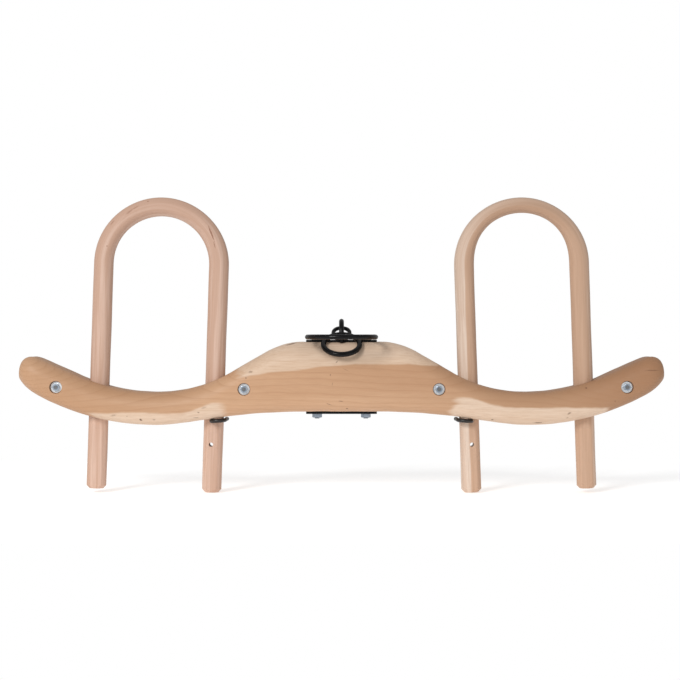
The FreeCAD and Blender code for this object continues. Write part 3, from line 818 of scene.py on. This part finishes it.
def beam_wood():
    """Tan heartwood with sapwood patches, ring lines, fibres, marks and a burnished satin surface."""
    material, g, shader = new_material("beam_wood_oiled")
    vector = g.node("ShaderNodeTexCoord").outputs["Object"]
    x, y, z = g.parts(vector)
    arch = g.math("MULTIPLY", g.math("MULTIPLY", x, x), 0.1)
    height = g.math("ADD", g.math("ADD", z, arch), g.math("MULTIPLY", g.math("ABSOLUTE", y), 0.55))
    rings = g.group(RINGS_GROUP, Vector=vector, Height=height, Spacing=11 * MM, Warp=0.06)
    fine = g.group(FIBRES_GROUP, Vector=g.stretch(vector, (26, 420, 420)))
    cloud = g.ramp(rings["Band"], 0.32, 0.68)
    # The right half is painted darker, and the right horn darker still. This is partly the wood's own tone and
    # partly painted shade, where the light falls off to the right.
    left = g.mix(cloud, srgb(191, 150, 116), srgb(203, 164, 131))
    right = g.mix(cloud, srgb(171, 129, 97), srgb(184, 145, 113))
    heart = g.mix(g.ramp(x, -100 * MM, 420 * MM), left, right)
    heart = g.mix(g.ramp(x, 420 * MM, 600 * MM, 0.0, 0.6), heart, srgb(150, 108, 79))
    heart = g.mix(g.ramp(g.math("ABSOLUTE", x), 240 * MM, 330 * MM, 0.0, 0.3), heart, srgb(160, 118, 84))
    sap = g.mix(cloud, srgb(210, 183, 158), srgb(218, 194, 172))
    patches = sapwood(g, vector, x, z)
    wood = g.mix(patches, heart, sap)
    line = g.math("MULTIPLY", rings["Line"], g.math("SUBTRACT", 0.34, g.math("MULTIPLY", patches, 0.2)))
    wood = g.mix(line, wood, g.mix(patches, srgb(163, 119, 84), srgb(186, 152, 122)))
    wood = g.mix(g.math("MULTIPLY", g.ramp(fine["Streak"], 0.35, 0.75), 0.3), wood, srgb(172, 131, 99))
    marks = add_marks(g, vector, BEAM_MARKS)
    wood = g.mix(marks, wood, srgb(96, 66, 48))
    g.feed(shader.inputs["Base Color"], wood)
    g.feed(shader.inputs["Roughness"], g.ramp(fine["Streak"], 0.2, 0.8, 0.44, 0.6))
    shader.inputs["Specular IOR Level"].default_value = 0.35
    relief = g.math("SUBTRACT", g.math("MULTIPLY", fine["Streak"], 0.5), g.math("ADD", marks, rings["Line"]))
    bump(g, shader, relief, 0.12 * MM, 0.6)
    return material


dress([beam_piece], beam_wood())
print("beam material:", beam_piece.data.materials[0].name)

# %% [markdown]
# ## Bow wood
#
# Bent sticks are split along the grain, so their streaks follow the bend. The UV map runs in
# metres along the stick and around it, and noise squeezed across that map makes the streaks. The
# left bow is a pinkish cream. The right one has a strip of cream sapwood along the outside of its
# inner leg, and is tan elsewhere. Near the top of each arch, the sides and the inside are painted
# darker as painted shade under the arch: deeply on the right bow, faintly on the left.

# %% Bow wood
LEFT_BOW_MARKS = (   # as for the beam
    (-260, 360, 19, 1.8, -68, 0.8), (-254, 338, 8, 1.2, -76, 0.6), (-424, 405, 11, 2.2, 38, 0.45),
    (-412, 413, 9, 1.6, 30, 0.4), (-459, 383, 8, 1.6, 52, 0.4), (-388, 426, 3, 1.4, 10, 0.5),
    (-469, 336, 1.8, 1.6, 0, 0.6))
# The third colour is used both for the streaks and for the painted shade under the top of each arch.
BOW_COLOURS = {   # pale strip, tan and streaks
    "left": (srgb(207, 176, 158), srgb(197, 163, 143), srgb(180, 143, 121)),
    "right": (srgb(216, 195, 178), srgb(194, 160, 135), srgb(176, 140, 114))}


def bow_wood(word, pale, tan, streak_and_shade, marks):
    """Streaks along the stick, and on the right bow a pale strip along the outside of the bend."""
    material, g, shader = new_material(f"bow_wood_{word}")
    uv = g.node("ShaderNodeUVMap", uv_map="along").outputs[0]
    place = g.node("ShaderNodeTexCoord").outputs["Object"]
    along, around, _ = g.parts(uv)
    phase = g.math("DIVIDE", around, BOW_STOCK / 2)
    ring_xyz = g.node("ShaderNodeCombineXYZ")
    for socket, v in zip(ring_xyz.inputs, (along, g.math("MULTIPLY", g.math("COSINE", phase), 20 * MM),
                                           g.math("MULTIPLY", g.math("SINE", phase), 20 * MM))):
        g.feed(socket, v)
    stick = ring_xyz.outputs[0]
    fine = g.group(FIBRES_GROUP, Vector=g.stretch(stick, (12, 520, 520)))
    broad = g.noise(g.stretch(stick, (3.5, 90, 90)), 1.0, 3.0, 0.55)
    outward = g.math("COSINE", phase)
    edge = g.math("ADD", outward, g.math("MULTIPLY", g.centred(broad), 0.5))
    if word == "right":
        strip = g.math("MULTIPLY", g.ramp(edge, 0.02, 0.16), g.ramp(along, 0.80, 0.42))
        strip = g.math("MAXIMUM", strip, g.math("MULTIPLY", g.ramp(edge, 0.45, 0.8), 0.45))
    else:
        strip = g.ramp(broad, 0.4, 0.66)
    # Painted shade: near the top of the arch, its sides and inside are mixed towards the streak colour, up to half
    # way on the right bow and a little on the left.
    arch = g.ramp(g.parts(place)[2], 330 * MM, 420 * MM, 0.0, 0.5 if word == "right" else 0.12)
    wood = g.mix(g.math("MULTIPLY", arch, g.ramp(outward, 0.75, 0.2)), g.mix(strip, tan, pale), streak_and_shade)
    wood = g.mix(g.math("MULTIPLY", g.ramp(broad, 0.56, 0.44), 0.3), wood, streak_and_shade)
    wood = g.mix(g.math("MULTIPLY", g.ramp(fine["Streak"], 0.42, 0.72), 0.42), wood, streak_and_shade)
    front = g.ramp(g.parts(place)[1], 2 * MM, -2 * MM)
    spots = g.math("MULTIPLY", add_marks(g, place, marks), front) if marks else 0.0
    wood = g.mix(spots, wood, srgb(128, 78, 52))
    g.feed(shader.inputs["Base Color"], wood)
    g.feed(shader.inputs["Roughness"], g.ramp(fine["Streak"], 0.2, 0.8, 0.46, 0.62))
    shader.inputs["Specular IOR Level"].default_value = 0.32
    bump(g, shader, g.math("ADD", fine["Streak"], g.math("MULTIPLY", broad, 0.6)), 0.14 * MM, 0.7)
    return material


for word, marks in (("left", LEFT_BOW_MARKS), ("right", ())):
    dress([bows[word]], bow_wood(word, *BOW_COLOURS[word], marks))
    print("bow material:", bows[word].data.materials[0].name)

# %% [markdown]
# ## Iron and zinc
#
# The staple, rings and plates are dipped in gloss black, so they are dark with sharp lights: a
# smooth coat over a slightly uneven bar. The fasteners are zinc, a metal with a cool cast and faint
# cloudy spangle. One zinc is painted at three brightnesses: the washers near white, as a painted
# highlight, and the nuts darker and the tie bolts darker still, as painted shade.


# %% Metals
def black_iron():
    """Gloss black paint over forged bar: near black, low roughness, uneven below the coat."""
    material, g, shader = new_material("black_iron_gloss")
    vector = g.node("ShaderNodeTexCoord").outputs["Object"]
    wear_and_shade = g.group(WORN_GROUP, Vector=vector, Scale=70.0)
    g.feed(shader.inputs["Base Color"], g.mix(wear_and_shade["Cloud"], srgb(5, 5, 6), srgb(10, 9, 10)))
    g.feed(shader.inputs["Roughness"], g.ramp(wear_and_shade["Cloud"], 0.3, 0.7, 0.2, 0.36))
    shader.inputs["Specular IOR Level"].default_value = 0.16
    shader.inputs["Coat Weight"].default_value = 0.08
    shader.inputs["Coat Roughness"].default_value = 0.12
    bump(g, shader, g.math("ADD", wear_and_shade["Cloud"], g.math("MULTIPLY", wear_and_shade["Fine"], 0.1)), 0.25 * MM, 0.2)
    return material


def pin_iron():
    """Thin satin black on bow pins, rubbed a little brown."""
    material, g, shader = new_material("pin_iron_satin")
    vector = g.node("ShaderNodeTexCoord").outputs["Object"]
    wear_and_shade = g.group(WORN_GROUP, Vector=vector, Scale=160.0)
    rubbed = g.ramp(wear_and_shade["Fine"], 0.45, 0.7)
    g.feed(shader.inputs["Base Color"], g.mix(rubbed, srgb(8, 7, 8), srgb(34, 26, 23)))
    g.feed(shader.inputs["Roughness"], g.ramp(wear_and_shade["Cloud"], 0.3, 0.7, 0.3, 0.5))
    bump(g, shader, wear_and_shade["Fine"], 0.3 * MM, 0.4)
    return material


def zinc(word, dull, bright):
    """Zinc plate between two greys: a cool metal, cloudy in colour and gloss."""
    material, g, shader = new_material(f"zinc_{word}")
    vector = g.node("ShaderNodeTexCoord").outputs["Object"]
    wear_and_shade = g.group(WORN_GROUP, Vector=vector, Scale=260.0)
    g.feed(shader.inputs["Base Color"], g.mix(wear_and_shade["Cloud"], dull, bright))
    shader.inputs["Metallic"].default_value = 1.0
    g.feed(shader.inputs["Roughness"], g.ramp(wear_and_shade["Fine"], 0.3, 0.7, 0.28, 0.44))
    bump(g, shader, wear_and_shade["Fine"], 0.08 * MM, 0.5)
    return material


nodes = frame["nodes"]
PLATE_IRONS = ("belly_plate", "crown_plate", "staple_welds", "plate_bolt_left", "plate_bolt_right")
# One zinc at three brightnesses: the washers are painted near white as a painted highlight, and the nuts are
# painted darker and the tie bolts darker still as painted shade.
ZINC_LOOKS = (("washer", "bright", srgb(226, 230, 234), srgb(246, 247, 248)),
              ("nut", "dull", srgb(140, 152, 166), srgb(190, 200, 212)),
              ("bolt", "wear_and_shade", srgb(104, 106, 110), srgb(150, 150, 150)))
zinc_parts = {n: o for n, o in nodes.items() if n.startswith(("tie_", "plate_nut"))}
dress(iron_pieces + [nodes[n] for n in PLATE_IRONS], black_iron())
dress(pins, pin_iron())
for kind, look, low, high in ZINC_LOOKS:
    dress([o for n, o in zinc_parts.items() if kind in n], zinc(look, low, high))
print("zinc parts:", len(zinc_parts))

# %% [markdown]
# ## Floor, light and camera
#
# The floor is a plain pale sheet under the leg ends. A large soft light stands in front, high and
# to the left, with a weaker one to the right, and the pale sky fills the rest, so that edges turn
# away softly and the iron still has something bright to mirror. The camera stands 3 m away, square
# to the beam, and its lens follows from that distance and the width of the view.

# %% Stage
FLOOR_Z = cad_bounds[0][2]
FLOOR_HALF_X, FLOOR_HALF_Y, FLOOR_GAP = 1.6, 0.75, 1 * MM
FLOOR_GLOW, SKY = 0.42, 0.52
KEY_PLACE, KEY_SIZE, KEY_POWER = (-2.4, -4.2, 2.3), 1.5, 150
FILL_PLACE, FILL_SIZE, FILL_POWER = (3.2, -4.6, 0.8), 2.5, 14
CAMERA_AWAY, VIEW_WIDTH, AIM, SENSOR = 3.0, 1.36, (-0.003, 0.148), 36
VIEW_PLANE = 0.02   # the view is VIEW_WIDTH wide at this distance in front of the beam's middle plane


def floor():
    """Flat sheet as a 2 by 2 grid of points. It is small, so that a level camera sees no horizon."""
    x, y = np.meshgrid([-FLOOR_HALF_X, FLOOR_HALF_X], [-FLOOR_HALF_Y, FLOOR_HALF_Y])
    points = np.stack([x, y, np.full_like(x, FLOOR_Z - FLOOR_GAP)], axis=-1).reshape(-1, 3)
    mesh = bpy.data.meshes.new("floor")
    mesh.from_pydata(points.tolist(), [], [[0, 1, 3, 2]])
    made = bpy.data.objects.new("floor", mesh)
    bpy.context.scene.collection.objects.link(made)
    material, _, shader = new_material("pale_floor")
    shader.inputs["Base Color"].default_value = (0.93, 0.93, 0.93, 1)
    shader.inputs["Roughness"].default_value = 0.9
    shader.inputs["Specular IOR Level"].default_value = 0.0
    shader.inputs["Emission Color"].default_value = (1, 1, 1, 1)
    shader.inputs["Emission Strength"].default_value = FLOOR_GLOW
    mesh.materials.append(material)


def area_light(name, place, size, power, aim=(0, 0, 0.15)):
    """Square soft light turned to its aim."""
    data = bpy.data.lights.new(name, "AREA")
    data.shape, data.size, data.energy = "SQUARE", size, power
    light = bpy.data.objects.new(name, data)
    light.location = place
    light.rotation_euler = (Vector(aim) - Vector(place)).to_track_quat("-Z", "Y").to_euler()
    bpy.context.scene.collection.objects.link(light)


def sky(strength):
    """Even sky: it lights the yoke with this strength, and the camera sees it as plain white."""
    world = bpy.data.worlds.new("sky")
    world.use_nodes = True
    g = Graph(world.node_tree)
    background = world.node_tree.nodes["Background"]
    background.inputs["Color"].default_value = (1, 1, 1, 1)
    seen = g.node("ShaderNodeLightPath").outputs["Is Camera Ray"]
    extra = g.math("MULTIPLY", seen, 1.0 - strength)
    g.feed(background.inputs["Strength"], g.math("ADD", extra, strength))
    bpy.context.scene.world = world


floor()
sky(SKY)
area_light("key", KEY_PLACE, KEY_SIZE, KEY_POWER)
area_light("fill", FILL_PLACE, FILL_SIZE, FILL_POWER)

camera_data = bpy.data.cameras.new("camera")
camera_data.sensor_width = SENSOR
camera_data.lens = SENSOR * (CAMERA_AWAY - VIEW_PLANE) / VIEW_WIDTH
camera_data.clip_end = 100
camera = bpy.data.objects.new("camera", camera_data)
camera.location = (AIM[0], -CAMERA_AWAY, AIM[1])
camera.rotation_euler = (np.pi / 2, 0, 0)
bpy.context.scene.collection.objects.link(camera)
bpy.context.scene.camera = camera
bpy.context.scene.view_settings.view_transform = "Standard"
print(f"camera lens: {camera_data.lens:.1f} mm")
